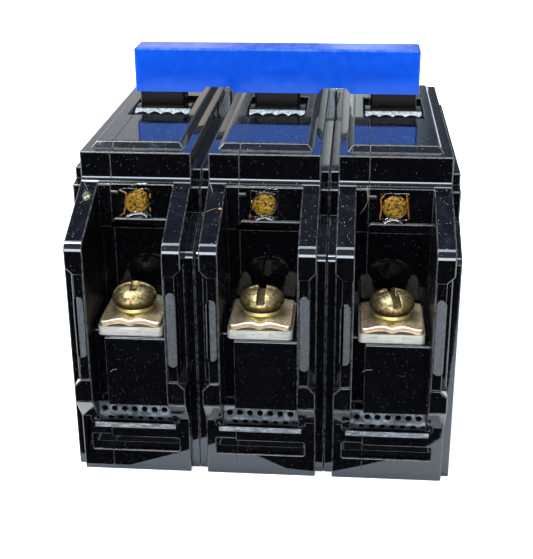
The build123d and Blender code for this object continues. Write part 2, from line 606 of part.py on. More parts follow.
def make_mechanism():
    tip_end = (0.2, 4.4, 31.3)
    hook_end = (0.2, -3.4, 37.7)
    for pole in POLES:
        place = Pos(pole_x(pole), 0, 0)
        save(f"contact_arm_{pole}", [place * piece for piece in contact_arm()])
        save(f"handle_{pole}", [place * handle()])
        save(f"arc_chute_{pole}", [place * piece for piece in arc_chute()])
        save(f"toggle_spring_{pole}", [place * coil_spring(hook_end, tip_end, 1.5, 0.3, 9)])
        save(f"flex_braid_{pole}", [place * braid()])
    save("handle_tie", [handle_tie()])


make_cases()
make_rivets()
make_vent_screens()
make_terminals()
make_trip_unit()
make_mechanism()
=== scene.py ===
import math

import bmesh
import bpy
from mathutils import Matrix, Vector, noise


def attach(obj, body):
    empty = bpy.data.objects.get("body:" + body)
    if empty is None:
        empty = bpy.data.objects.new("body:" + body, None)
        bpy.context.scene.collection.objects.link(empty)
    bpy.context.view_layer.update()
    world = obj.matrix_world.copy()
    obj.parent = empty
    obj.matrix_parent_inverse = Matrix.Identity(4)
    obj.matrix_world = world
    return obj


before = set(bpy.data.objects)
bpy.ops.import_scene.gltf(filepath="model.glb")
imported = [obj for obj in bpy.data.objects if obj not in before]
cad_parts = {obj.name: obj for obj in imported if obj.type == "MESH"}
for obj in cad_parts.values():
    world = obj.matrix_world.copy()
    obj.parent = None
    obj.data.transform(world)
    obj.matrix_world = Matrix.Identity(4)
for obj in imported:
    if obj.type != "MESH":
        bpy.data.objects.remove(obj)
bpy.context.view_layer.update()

MM = 0.001
POLES = (1, 2, 3)
POLE_PITCH = 25.0             # millimetres, as are all the sizes below
HALF_PITCH = POLE_PITCH / 2
UPPER_WALL_Y = -31.3          # wall with the sealed adjusting holes
WALL_HAIR_Y = UPPER_WALL_Y - 0.03
BLOCK_FRONT_Y = -44.2         # front of the blocks below the straps
FOOT_Y = -43.1
PARTING_X = -4.9              # where a pole's two shells meet, from the middle of the pole
LIP_ENDS = (-8.3, 8.0)        # ends of the sloping front of the foot's lip, from the middle of the pole
STRAP_TOP = 32.1              # heights
CLAMP_THICK = 1.1
HEAD_UNDERSIDE = 34.8
SHARP_ANGLE = 32.0            # degrees from which an edge is rounded
LIP_ANGLE = 12.0              # the same, on the foot's lip
STEP_LOSS, HOLLOW_LOSS = 0.62, 0.88    # part of the rounding width that an edge goes without
LIP_SHARE = 0.2


def pole_x(pole):
    return (pole - 2) * POLE_PITCH


# ---- node graphs -----------------------------------------------------------
class Graph:
    """Adds nodes to a material or to the world, and links them."""

    def __init__(self, tree):
        self.tree = tree
        tree.nodes.clear()

    def add(self, kind, inputs=None, **settings):
        node = self.tree.nodes.new("ShaderNode" + kind)
        for key, value in settings.items():
            setattr(node, key, value)
        for key, value in (inputs or {}).items():
            self.put(node.inputs[key], value)
        return node

    def put(self, socket, value):
        if isinstance(value, bpy.types.NodeSocket):
            self.tree.links.new(value, socket)
        else:
            socket.default_value = value

    def math(self, operation, *values, clamp=False):
        node = self.add("Math", operation=operation, use_clamp=clamp)
        for socket, value in zip(node.inputs, values):
            self.put(socket, value)
        return node.outputs[0]

    def step(self, value, low, high, start=0.0, end=1.0):
        """A smooth ramp from start, where value is low, to end, where it is high."""
        node = self.add("MapRange", interpolation_type="SMOOTHSTEP")
        for socket, item in zip(node.inputs, (value, low, high, start, end)):
            self.put(socket, item)
        return node.outputs[0]

    def band(self, value, low, high, soft):
        """1 between low and high, 0 outside."""
        return self.math("MULTIPLY", self.step(value, low - soft, low + soft),
                         self.step(value, high - soft, high + soft, 1.0, 0.0))

    def colour(self, factor, a, b, blend="MIX"):
        node = self.add("Mix", data_type="RGBA", blend_type=blend)
        self.put(node.inputs[0], factor)
        self.put(node.inputs[6], a)
        self.put(node.inputs[7], b)
        return node.outputs[2]

    def value(self, factor, a, b):
        node = self.add("Mix", data_type="FLOAT")
        self.put(node.inputs[0], factor)
        self.put(node.inputs[2], a)
        self.put(node.inputs[3], b)
        return node.outputs[0]

    def ramp(self, value, stops):
        node = self.add("ValToRGB", {"Fac": value})
        while len(node.color_ramp.elements) < len(stops):
            node.color_ramp.elements.new(0.5)
        for element, (place, colour) in zip(node.color_ramp.elements, stops):
            element.position = place
            element.color = colour
        return node.outputs["Color"]

    def noise(self, vector, scale, detail=3.0, roughness=0.55):
        return self.add("TexNoise", {"Vector": vector, "Scale": scale, "Detail": detail,
                                     "Roughness": roughness}).outputs["Fac"]

    def specks(self, vector, scale, share, radius):
        """Small round spots in a share of the cells of a grid, each of its own size."""
        cells = self.add("TexVoronoi", {"Vector": vector, "Scale": scale})
        pick = self.add("SeparateColor", {"Color": cells.outputs["Color"]})
        size = self.math("MULTIPLY", self.step(pick.outputs[0], 1.0 - share, 1.0), radius)
        return self.math("LESS_THAN", cells.outputs["Distance"], size)

    def turned(self, vector, degrees, scale):
        """The vector turned about Z and scaled, for streaks."""
        turn = (0, 0, math.radians(degrees))
        return self.add("Mapping", {"Vector": vector, "Rotation": turn, "Scale": scale}).outputs[0]

    def across(self, x):
        """X from the middle of the pole that it lies in."""
        return self.math("WRAP", x, HALF_PITCH, -HALF_PITCH)

    def place(self):
        """Position in the row frame at rest, in millimetres, and its X, Y and Z."""
        coordinates = self.add("TexCoord").outputs["Object"]
        scaled = self.add("VectorMath", {0: coordinates, 3: 1000.0}, operation="SCALE").outputs[0]
        parts = self.add("SeparateXYZ", {0: scaled})
        return scaled, parts.outputs[0], parts.outputs[1], parts.outputs[2]

    def facing(self):
        """X, Y and Z of the surface normal."""
        return self.add("SeparateXYZ", {0: self.add("NewGeometry").outputs["Normal"]}).outputs

    def finish(self, settings, bump=None, strength=0.3, distance=0.0001):
        """Adds the surface shader with its settings, and a bump of that strength and height in metres."""
        shader = self.add("BsdfPrincipled")
        for key, value in settings.items():
            self.put(shader.inputs[key], value)
        if bump is not None:
            node = self.add("Bump", {"Height": bump, "Strength": strength, "Distance": distance})
            self.put(shader.inputs["Normal"], node.outputs[0])
        self.add("OutputMaterial", {"Surface": shader.outputs[0]})


def material(name):
    """A new material and the graph of its nodes."""
    made = bpy.data.materials.new(name)
    made.use_nodes = True
    return made, Graph(made.node_tree)


# ---- materials -------------------------------------------------------------
def phenolic():
    """Glossy black moulding compound: dust, fine scratches and frosted gate pads."""
    made, g = material("phenolic_look")
    mm, x, y, z = g.place()
    nx, _, nz = g.facing()
    beside = g.math("ABSOLUTE", g.across(x))

    # Dust lies mostly on the faces that look up, and so do the scratches and the haze.
    upward = g.step(nz, 0.35, 0.85)
    coarse = g.specks(mm, 0.9, 0.4, 0.07)
    fine = g.specks(mm, 3.2, 0.3, 0.2)
    dots = g.math("MAXIMUM", coarse, g.math("MULTIPLY", fine, g.value(upward, 0.65, 1.0)))
    streaks = g.noise(g.turned(mm, 38, (0.5, 7.0, 1.0)), 1.0, 2.0, 0.6)
    scratches = g.math("MULTIPLY", g.step(streaks, 0.68, 0.76), g.value(upward, 0.05, 0.3))
    patches = g.noise(mm, 0.4, 6.0, 0.7)
    haze = g.math("MULTIPLY", g.step(patches, 0.45, 0.8), g.value(upward, 0.15, 1.0))

    black = (0.0009, 0.0009, 0.0012, 1)
    hazy = g.colour(haze, black, (0.007, 0.009, 0.014, 1))
    dusty = g.colour(g.math("MAXIMUM", g.math("MULTIPLY", dots, g.value(upward, 0.25, 0.85)),
                            g.math("MULTIPLY", scratches, 0.2)), hazy, (0.34, 0.38, 0.43, 1))

    # The frosted pads stand a little proud of the wings' flats.
    proud = g.step(g.math("ABSOLUTE", y), 46.65, 46.75)
    height = g.band(z, 24.5, 42.5, 0.05)
    pad = g.math("MULTIPLY", proud, g.math("MULTIPLY", height, g.step(beside, 7.66, 7.7)))
    grain = g.noise(mm, 3.6, 8.0, 0.8)
    frosted = g.ramp(grain, [(0.38, (0.003, 0.0035, 0.004, 1)), (0.5, (0.018, 0.020, 0.022, 1)),
                             (0.62, (0.055, 0.06, 0.064, 1))])
    base = g.colour(pad, dusty, frosted)

    smooth = g.value(g.noise(mm, 0.25, 3.0), 0.03, 0.08)
    roughness = g.math("ADD", smooth, g.math("MULTIPLY", haze, 0.12))
    roughness = g.math("MAXIMUM", roughness, g.math("MULTIPLY", dots, 0.5))
    roughness = g.value(pad, roughness, 0.5)
    waves = g.noise(mm, 0.35, 2.0)
    bump = g.math("ADD", waves, g.math("MULTIPLY", pad, g.math("MULTIPLY", grain, 2.5)))

    # The walls inside the terminal compartments mirror less.
    opening = g.step(beside, 7.5, 7.2)
    inside = g.math("MULTIPLY", opening, g.step(g.math("ABSOLUTE", nx), 0.7, 0.9))
    back_wall = g.math("MULTIPLY", g.band(g.math("ABSOLUTE", y), 29.0, 31.6, 0.05), g.band(z, 30.0, 57.5, 0.1))
    back_wall = g.math("MULTIPLY", back_wall, opening)
    roughness = g.value(inside, roughness, 0.35)
    inside = g.math("MAXIMUM", inside, back_wall)
    shine = g.value(inside, 0.5, 0.12)

    # The foot's lip has a sloping front, rubbed uneven.
    lip = g.math("MULTIPLY", g.band(g.math("ABSOLUTE", y), 42.6, 43.2, 0.02), g.band(z, 9.7, 10.7, 0.04))
    lip = g.math("MULTIPLY", lip, g.step(nz, 0.2, 0.3))
    rub = g.step(g.noise(g.turned(mm, 0, (0.5, 1.0, 2.5)), 1.0, 5.0, 0.7), 0.36, 0.62)
    shine = g.value(lip, shine, g.value(rub, 0.12, 0.4))
    roughness = g.value(lip, roughness, 0.2)
    bump = g.math("ADD", bump, g.math("MULTIPLY", lip, rub))
    g.finish({"Base Color": base, "Roughness": roughness, "IOR": 1.62, "Specular Tint": (0.8, 0.9, 1.0, 1),
              "Specular IOR Level": shine}, bump, 0.12)
    return made


def worn_edge():
    """The same moulding compound on its rounded edges: rubbed dull and slightly paler."""
    made, g = material("worn_edge_look")
    mm = g.place()[0]
    rub = g.step(g.noise(mm, 0.9, 4.0, 0.65), 0.35, 0.7)
    base = g.colour(rub, (0.004, 0.0045, 0.005, 1), (0.022, 0.025, 0.028, 1))
    g.finish({"Base Color": base, "Roughness": g.value(rub, 0.22, 0.42), "IOR": 1.6}, rub, 0.05)
    return made


def blue_bar():
    """Satin royal blue moulding with a faint mottle, a flow line and a painted highlight along the top edge,
    broken into patches.
    """
    made, g = material("blue_look")
    mm, _, _, z = g.place()
    mottle = g.noise(mm, 0.5, 4.0, 0.6)
    base = g.colour(g.step(mottle, 0.3, 0.75), (0.0004, 0.038, 0.34, 1), (0.0008, 0.047, 0.41, 1))
    flow = g.math("ADD", z, g.math("MULTIPLY", g.noise(g.turned(mm, 0, (0.12, 0.3, 0.1)), 1.0, 3.0), 5.0))
    flow = g.math("MULTIPLY", g.band(flow, 74.5, 74.9, 0.2), g.step(g.noise(mm, 0.12, 2.0), 0.45, 0.6))
    base = g.colour(g.math("MULTIPLY", flow, 0.35), base, (0.001, 0.02, 0.3, 1))
    # Painted highlight: the top edge is made paler in patches, standing in for the light falling on it.
    painted_top_light = g.math("MULTIPLY", g.step(z, 76.4, 77.0), g.step(g.noise(mm, 0.5, 4.0, 0.7), 0.38, 0.66))
    base = g.colour(g.math("MULTIPLY", painted_top_light, 0.35), base, (0.10, 0.17, 0.55, 1))
    dots = g.specks(mm, 1.3, 0.2, 0.08)
    base = g.colour(g.math("MULTIPLY", dots, 0.35), base, (0.2, 0.3, 0.7, 1))
    grain = g.noise(mm, 3.0, 3.0)
    g.finish({"Base Color": base, "Roughness": g.value(mottle, 0.12, 0.22), "IOR": 1.33,
              "Specular Tint": (0.5, 0.85, 1.0, 1)}, grain, 0.06)
    return made


def handle_plastic():
    """Black satin handle moulding, slightly brown, with a white scalloped index band on the drum."""
    made, g = material("handle_look")
    mm, x, y, z = g.place()
    grain = g.noise(mm, 1.6, 5.0, 0.65)
    base = g.colour(g.step(grain, 0.35, 0.75), (0.0008, 0.0006, 0.0007, 1), (0.0022, 0.0017, 0.0018, 1))
    dots = g.specks(mm, 1.4, 0.3, 0.07)
    base = g.colour(g.math("MULTIPLY", dots, 0.5), base, (0.12, 0.12, 0.12, 1))
    scallop = g.math("ABSOLUTE", g.math("SINE", g.math("MULTIPLY", g.across(x), 1.15)))
    wobble = g.math("MULTIPLY", g.noise(mm, 0.7, 3.0), 0.5)
    edge = g.math("SUBTRACT", y, g.math("ADD", g.math("MULTIPLY", scallop, 0.75), wobble))
    drum = g.math("MULTIPLY", g.band(z, 60.5, 64.15, 0.05), g.step(y, 1.74, 1.7))
    print_band = g.math("MULTIPLY", g.step(edge, -0.85, -0.7), drum)
    white = g.colour(g.step(g.noise(mm, 1.8, 4.0), 0.35, 0.7), (0.14, 0.17, 0.19, 1), (0.44, 0.49, 0.54, 1))
    base = g.colour(print_band, base, white)
    lever = g.step(z, 64.2, 64.6)
    g.finish({"Base Color": base, "Roughness": g.value(grain, 0.16, 0.34),
              "Specular IOR Level": g.value(lever, 0.4, 0.08)}, grain, 0.08)
    return made


def zinc():
    """Yellow passivated zinc: fine scratches, pink and green tints and brown stains, with painted shade on the
    screw heads' lower part, bright washer rims that are partly painted highlight, and painted reflections on
    the clamps' fronts.
    """
    made, g = material("yellow_zinc_look")
    mm, x, y, z = g.place()
    clouds = g.noise(mm, 0.5, 5.0, 0.62)
    base = g.ramp(clouds, [(0.30, (0.60, 0.55, 0.38, 1)), (0.44, (0.90, 0.78, 0.52, 1)),
                           (0.56, (0.95, 0.78, 0.58, 1)), (0.70, (0.76, 0.74, 0.46, 1))])
    grain = g.noise(mm, 3.4, 6.0, 0.75)
    base = g.colour(g.step(grain, 0.42, 0.62), g.colour(1.0, base, (0.62, 0.62, 0.60, 1), "MULTIPLY"), base)
    hairs = g.noise(g.turned(mm, 48, (0.9, 9.0, 4.0)), 1.0, 3.0, 0.6)
    base = g.colour(g.math("MULTIPLY", g.step(hairs, 0.62, 0.70), 0.5), base, (0.95, 0.92, 0.82, 1))
    stains = g.step(g.noise(mm, 1.1, 6.0, 0.72), 0.55, 0.68)
    base = g.colour(g.math("MULTIPLY", stains, 0.7), base, (0.20, 0.13, 0.08, 1))
    tints = g.add("TexNoise", {"Vector": mm, "Scale": 1.1, "Detail": 3.0}).outputs["Color"]
    tints = g.ramp(g.add("SeparateColor", {"Color": tints}).outputs[0],
                   [(0.36, (0.55, 1.0, 0.50, 1)), (0.46, (1, 1, 1, 1)), (0.54, (1, 0.95, 0.9, 1)),
                    (0.64, (1.0, 0.55, 0.6, 1))])
    base = g.colour(0.6, base, g.colour(1.0, base, tints, "MULTIPLY"))
    mottle = g.noise(mm, 1.5, 7.0, 0.78)
    shade = g.ramp(mottle, [(0.40, (0.22, 0.21, 0.16, 1)), (0.49, (0.62, 0.61, 0.56, 1)), (0.58, (1, 1, 1, 1))])

    # The screw heads are darker and more mottled, with painted shade on their lower part and a painted shadow
    # in the neck; the washers are a brighter yellow, partly painted highlight.
    head = g.step(z, HEAD_UNDERSIDE, HEAD_UNDERSIDE + 0.1)
    base = g.colour(g.value(head, 0.55, 1.0), base, g.colour(1.0, base, shade, "MULTIPLY"))
    # Painted shade: each head grows darker from its top down towards the neck.
    lower_head_shade = g.ramp(g.step(z, 34.75, 37.8), [(0.0, (0.10, 0.06, 0.02, 1)), (0.2, (0.18, 0.13, 0.05, 1)),
                                          (0.36, (0.40, 0.36, 0.18, 1)), (0.6, (0.52, 0.50, 0.38, 1)),
                                          (1.0, (0.60, 0.59, 0.50, 1))])
    base = g.colour(head, base, g.colour(1.0, base, lower_head_shade, "MULTIPLY"))
    # Painted shadow: a dark band in the neck under each head.
    neck_shadow = g.band(z, 34.62, 34.86, 0.05)
    base = g.colour(g.math("MULTIPLY", neck_shadow, 0.85), base, (0.05, 0.02, 0.015, 1))
    # Brighter yellow band on the washers: their own yellow passivation, brightened as a painted highlight along
    # the rim.
    ring = g.band(z, 33.86, 34.3, 0.1)
    base = g.colour(g.math("MULTIPLY", ring, 0.8), base, (0.86, 0.74, 0.16, 1))

    # The clamp's sheared front, painted by height: a yellow-green line below, a painted reflection of the
    # bright floor; brown-pink in the middle, a painted reflection of the dark floor in front; a pale painted
    # highlight line on top.
    beside = g.math("ABSOLUTE", g.across(x))
    wave = g.math("SUBTRACT", g.step(beside, 2.2, 5.2, 0.6, 0.0), g.step(beside, 0.0, 2.2, 0.43, 0.0))
    sheared = g.math("DIVIDE", g.math("SUBTRACT", g.math("SUBTRACT", z, STRAP_TOP), wave), CLAMP_THICK)
    streak = g.noise(g.turned(mm, 0, (0.35, 2.0, 5.0)), 1.0, 4.0)
    middle = g.ramp(streak, [(0.3, (0.28, 0.15, 0.13, 1)), (0.5, (0.52, 0.33, 0.28, 1)),
                             (0.7, (0.66, 0.52, 0.30, 1))])
    edge = g.colour(g.step(sheared, 0.12, 0.3), (0.85, 0.88, 0.30, 1), middle)
    edge = g.colour(g.step(sheared, 0.78, 0.92), edge, (1.0, 0.90, 0.84, 1))
    front = g.math("MULTIPLY", g.step(g.math("ABSOLUTE", y), 42.9, 43.1), g.step(z, 34.0, 33.9))
    # Painted reflections and highlight laid over the clamp's front face.
    base = g.colour(g.math("MULTIPLY", front, 0.9), base, edge)
    roughness = g.math("ADD", g.value(clouds, 0.40, 0.52), g.math("MULTIPLY", stains, 0.15))
    roughness = g.math("SUBTRACT", roughness, g.math("MULTIPLY", head, 0.06))
    bump = g.math("ADD", g.math("MULTIPLY", grain, 0.8), g.math("ADD", g.math("MULTIPLY", hairs, 0.5), stains))
    g.finish({"Base Color": base, "Metallic": 0.9, "Roughness": roughness}, bump, 0.35)
    return made


def tinned():
    """Tinned copper strap: soft bright silver, drawn streaks and small pits."""
    made, g = material("tinned_look")
    mm = g.place()[0]
    streaks = g.noise(g.turned(mm, 0, (0.3, 3.0, 3.0)), 1.0, 4.0, 0.6)
    base = g.ramp(streaks, [(0.3, (0.21, 0.21, 0.20, 1)), (0.55, (0.34, 0.34, 0.31, 1)),
                            (0.8, (0.27, 0.24, 0.19, 1))])
    pits = g.step(g.noise(mm, 2.6, 6.0, 0.7), 0.56, 0.68)
    base = g.colour(g.math("MULTIPLY", pits, 0.45), base, (0.30, 0.29, 0.28, 1))
    g.finish({"Base Color": base, "Metallic": 0.35, "Roughness": g.value(streaks, 0.35, 0.5)}, streaks, 0.2)
    return made


def galvanised():
    """Zinc-coated perforated sheet, bright with dull patches and dirt, and with painted shade darkening the
    lower row of holes.
    """
    made, g = material("galvanised_look")
    mm, _, _, z = g.place()
    spangle = g.add("TexVoronoi", {"Vector": mm, "Scale": 0.9}, feature="SMOOTH_F1").outputs["Color"]
    tone = g.add("SeparateColor", {"Color": spangle}).outputs[0]
    base = g.ramp(tone, [(0.2, (0.08, 0.095, 0.11, 1)), (0.8, (0.20, 0.235, 0.27, 1))])
    # Painted shade: the lower row of holes is made darker, added on top of the dirt noise.
    low = g.step(z, 12.6, 11.4)
    dirt_and_lower_shade = g.step(g.math("ADD", g.noise(mm, 0.8, 5.0, 0.65), g.math("MULTIPLY", low, 0.3)), 0.46, 0.70)
    base = g.colour(g.math("MULTIPLY", dirt_and_lower_shade, 0.8), base, (0.012, 0.013, 0.014, 1))
    g.finish({"Base Color": base, "Metallic": 0.7, "Roughness": g.value(tone, 0.3, 0.48)}, dirt_and_lower_shade, 0.2)
    return made


def metal(name, dark, light, rough=(0.25, 0.45), scale=0.8):
    """A plain metal with uneven tone, fine streaks and tarnish."""
    made, g = material(name)
    mm = g.place()[0]
    clouds = g.noise(mm, scale, 5.0, 0.62)
    streaks = g.noise(g.turned(mm, 12, (0.4, 4.0, 2.0)), 1.0, 3.0)
    tone = g.math("ADD", g.math("MULTIPLY", clouds, 0.6), g.math("MULTIPLY", streaks, 0.4))
    base = g.ramp(tone, [(0.35, (*dark, 1)), (0.65, (*light, 1))])
    g.finish({"Base Color": base, "Metallic": 1.0, "Roughness": g.value(tone, *rough)}, streaks, 0.15)
    return made


def fibre():
    """Grey-brown vulcanised fibre sheet."""
    made, g = material("fibre_look")
    mm = g.place()[0]
    threads = g.noise(g.turned(mm, 20, (1.0, 8.0, 3.0)), 1.0, 4.0)
    base = g.ramp(threads, [(0.3, (0.16, 0.13, 0.11, 1)), (0.7, (0.30, 0.25, 0.21, 1))])
    g.finish({"Base Color": base, "Roughness": g.value(threads, 0.6, 0.85)}, threads, 0.4)
    return made


def amber():
    """Crumpled sealing resin: dark olive folds, gold facets."""
    made, g = material("amber_look")
    mm = g.place()[0]
    folds = g.add("TexVoronoi", {"Vector": mm, "Scale": 1.5, "Detail": 2.0}, feature="F1").outputs["Distance"]
    lumps = g.noise(mm, 1.3, 4.0, 0.65)
    tone = g.math("ADD", g.math("MULTIPLY", lumps, 0.75), g.math("MULTIPLY", folds, 0.4))
    base = g.ramp(tone, [(0.46, (0.003, 0.0028, 0.0006, 1)), (0.56, (0.014, 0.010, 0.001, 1)),
                         (0.64, (0.040, 0.021, 0.001, 1)), (0.74, (0.14, 0.075, 0.004, 1))])
    g.finish({"Base Color": base, "Roughness": 0.22, "IOR": 1.45, "Specular Tint": (1.0, 0.8, 0.4, 1)},
             tone, 0.5, 0.0003)
    return made


def orange_resin():
    """Thin strings and drops of the same resin, dark brown to bright orange following a noise."""
    made, g = material("orange_resin_look")
    mm = g.place()[0]
    tone = g.noise(mm, 1.8, 4.0)
    base = g.ramp(tone, [(0.35, (0.05, 0.015, 0.0004, 1)), (0.6, (0.19, 0.066, 0.001, 1))])
    g.finish({"Base Color": base, "Roughness": 0.15, "Coat Weight": 0.5}, tone, 0.2)
    return made


def clear_resin():
    """Clear varnish with a few specks in it."""
    made, g = material("clear_resin_look")
    mm = g.place()[0]
    dots = g.specks(mm, 1.5, 0.3, 0.1)
    base = g.colour(dots, (0.74, 0.77, 0.70, 1), (0.9, 0.85, 0.6, 1))
    g.finish({"Base Color": base, "Roughness": 0.03, "IOR": 1.5, "Transmission Weight": 1.0},
             g.noise(mm, 0.8, 2.0), 0.1)
    return made


def green_resin():
    """Cloudy olive-green drop of resin."""
    made, g = material("green_resin_look")
    mm = g.place()[0]
    tone = g.noise(mm, 1.6, 4.0)
    base = g.ramp(tone, [(0.35, (0.012, 0.016, 0.006, 1)), (0.6, (0.07, 0.08, 0.035, 1))])
    g.finish({"Base Color": base, "Roughness": 0.1, "Coat Weight": 0.6}, tone, 0.3)
    return made


def lint():
    """Pale dust fibres."""
    made, g = material("lint_look")
    mm = g.place()[0]
    tone = g.noise(mm, 2.0)
    g.finish({"Base Color": g.colour(tone, (0.08, 0.075, 0.06, 1), (0.2, 0.19, 0.15, 1)), "Roughness": 0.7})
    return made


LOOKS = {
    "phenolic_case": phenolic(),
    "blue_plastic": blue_bar(),
    "handle_plastic": handle_plastic(),
    "yellow_zinc": zinc(),
    "tinned_copper": tinned(),
    "galvanised_sheet": galvanised(),
    "plated_steel": metal("plated_steel_look", (0.40, 0.40, 0.38), (0.66, 0.65, 0.62)),
    "rivet_steel": metal("rivet_look", (0.38, 0.38, 0.37), (0.62, 0.61, 0.58), (0.3, 0.5)),
    "bimetal_strip": metal("bimetal_look", (0.45, 0.40, 0.34), (0.62, 0.57, 0.50)),
    "copper": metal("copper_look", (0.55, 0.25, 0.14), (0.85, 0.45, 0.28), (0.25, 0.5), 1.5),
    "fibre": fibre(),
    "amber_resin": amber(),
}
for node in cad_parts.values():
    for holder in node.material_slots:
        holder.material = LOOKS[holder.material.name]


# ---- rounded edges on the CAD parts ----------------------------------------
def edge_widths():
    """Gives each sharp edge of a shell its share of the rounding width.

    Shallow steps and the parting line get less, inner corners hardly any, and the lip's front has its own rule.
    """
    tree = bpy.data.node_groups.new("edge_widths", "GeometryNodeTree")
    for way in ("INPUT", "OUTPUT"):
        tree.interface.new_socket("Geometry", in_out=way, socket_type="NodeSocketGeometry")
    nodes, links = tree.nodes, tree.links

    def put(socket, value):
        if isinstance(value, bpy.types.NodeSocket):
            links.new(value, socket)
        else:
            socket.default_value = value

    def math_node(operation, *values):
        node = nodes.new("ShaderNodeMath")
        node.operation = operation
        for socket, value in zip(node.inputs, values):
            put(socket, value)
        return node.outputs[0]

    def between(value, low, high):
        return math_node("MULTIPLY", math_node("GREATER_THAN", value, low), math_node("LESS_THAN", value, high))

    split = nodes.new("ShaderNodeSeparateXYZ")
    links.new(nodes.new("GeometryNodeInputPosition").outputs[0], split.inputs[0])
    x, y, z = (math_node("MULTIPLY", output, 1000.0) for output in split.outputs)
    across = math_node("WRAP", x, HALF_PITCH, -HALF_PITCH)
    away = math_node("ABSOLUTE", y)
    angle, signed_angle = nodes.new("GeometryNodeInputMeshEdgeAngle").outputs
    sharp = math_node("GREATER_THAN", angle, math.radians(SHARP_ANGLE))
    hollow = math_node("LESS_THAN", signed_angle, 0.0)

    at_front = math_node("GREATER_THAN", away, 46.5)
    on_wing = between(math_node("ABSOLUTE", across), 7.0, 9.7)
    shallow = math_node("MULTIPLY", at_front, math_node("MULTIPLY", on_wing, between(z, 22.0, 44.4)))
    parting = math_node("LESS_THAN", math_node("ABSOLUTE", math_node("SUBTRACT", across, PARTING_X)), 0.03)
    small = math_node("MAXIMUM", shallow, parting)
    share = math_node("MINIMUM", math_node("SUBTRACT", 1.0, math_node("MULTIPLY", small, STEP_LOSS)),
                      math_node("SUBTRACT", 1.0, math_node("MULTIPLY", hollow, HOLLOW_LOSS)))
    elsewhere = math_node("MULTIPLY", sharp, share)

    lip = math_node("MULTIPLY", between(away, 42.6, 43.2), between(z, 9.6, 10.9))
    ends = math_node("MAXIMUM", *[between(across, end - 0.1, end + 0.1) for end in LIP_ENDS])
    on_lip = math_node("MULTIPLY", math_node("GREATER_THAN", angle, math.radians(LIP_ANGLE)), LIP_SHARE)
    on_lip = math_node("MULTIPLY", on_lip, math_node("SUBTRACT", 1.0, ends))
    weight = math_node("ADD", math_node("MULTIPLY", elsewhere, math_node("SUBTRACT", 1.0, lip)),
                       math_node("MULTIPLY", on_lip, lip))

    store = nodes.new("GeometryNodeStoreNamedAttribute")
    store.data_type, store.domain = "FLOAT", "EDGE"
    store.inputs["Name"].default_value = "bevel_weight_edge"
    links.new(nodes.new("NodeGroupInput").outputs[0], store.inputs["Geometry"])
    put(store.inputs["Value"], weight)
    links.new(store.outputs[0], nodes.new("NodeGroupOutput").inputs[0])
    return tree


def round_edges(node, width, segments=2, widths=None):
    """Welds the mesh and rounds its sharp edges; widths is the group that shares the width out."""
    for polygon in node.data.polygons:
        polygon.use_smooth = True
    weld = node.modifiers.new("weld", "WELD")
    weld.merge_threshold = 1e-6
    flat = node.modifiers.new("flat", "DECIMATE")
    flat.decimate_type = "DISSOLVE"
    flat.angle_limit = math.radians(0.4)
    if widths:
        node.modifiers.new("widths", "NODES").node_group = widths
    bevel = node.modifiers.new("bevel", "BEVEL")
    bevel.width = width * MM
    bevel.segments = segments
    bevel.limit_method = "WEIGHT" if widths else "ANGLE"
    bevel.angle_limit = math.radians(SHARP_ANGLE)
    bevel.use_clamp_overlap = False
    bevel.miter_outer = "MITER_ARC"
    normals = node.modifiers.new("normals", "WEIGHTED_NORMAL")
    normals.weight = 80
    normals.keep_sharp = False


SHELL_ROUNDING = 0.26
TERMINAL_ROUNDING = {"clamp": 0.17, "screw": 0.12, "strap": 0.05}
shell_widths = edge_widths()
edge_look = worn_edge()
for pole in POLES:
    for name in ("base_shell", "cover_shell"):
        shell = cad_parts[f"{name}_{pole}"]
        round_edges(shell, SHELL_ROUNDING, 3, shell_widths)
        shell.data.materials.append(edge_look)
        shell.modifiers["bevel"].material = 1
    for end in ("load", "line"):
        for part, width in TERMINAL_ROUNDING.items():
            round_edges(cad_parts[f"{end}_{part}_{pole}"], width)


# ---- sealing resin, beads and lint on the case ------------------------------
def piece(name, bm, look):
    """Turns the mesh under construction into a piece that rides on the case."""
    mesh = bpy.data.meshes.new(name)
    bm.to_mesh(mesh)
    bm.free()
    mesh.materials.append(look)
    for polygon in mesh.polygons:
        polygon.use_smooth = True
    made = bpy.data.objects.new(name, mesh)
    bpy.context.scene.collection.objects.link(made)
    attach(made, "case")


def distance_to(x, z, points):
    """Distance from a place on the wall to a line through points."""
    best = math.inf
    for (ax, az), (bx, bz) in zip(points, points[1:]):
        dx, dz = bx - ax, bz - az
        along = ((x - ax) * dx + (z - az) * dz) / (dx * dx + dz * dz)
        along = min(1.0, max(0.0, along))
        best = min(best, math.hypot(x - ax - along * dx, z - az - along * dz))
    return best


def strand(points, radius, tall=None):
    """Height of a string of resin on the wall; it is as tall as its radius unless a height is given."""
    tall = tall or radius
    return lambda x, z: tall * (1 - (distance_to(x, z, points) / radius) ** 2)


def lump(x_low, x_high, z_low, z_high, tall, crumple, seed):
    """Height of a crumpled cushion of resin."""
    def height(x, z):
        across = (2 * x - x_low - x_high) / (x_high - x_low)
        up = (2 * z - z_low - z_high) / (z_high - z_low)
        folds = noise.fractal(Vector((x * 0.9, z * 0.9, seed)), 0.8, 2.1, 4)
        inside = 1 - (abs(across) ** 2.6 + abs(up) ** 2.6) + 0.25 * folds
        creases = abs(noise.noise(Vector((x * 1.3, z * 1.3, seed + 5)))) * crumple
        return tall * min(1.0, 2.2 * inside) + (creases if inside > 0 else 0.0)
    return height


WALL_X, WALL_Z = (-4.0, 4.2), (48.6, 58.0)    # part of the upper wall that can carry resin
CELL = 0.09
SUNK, BACK = 0.03, 0.08       # how deep in the wall a piece's rim and its back lie


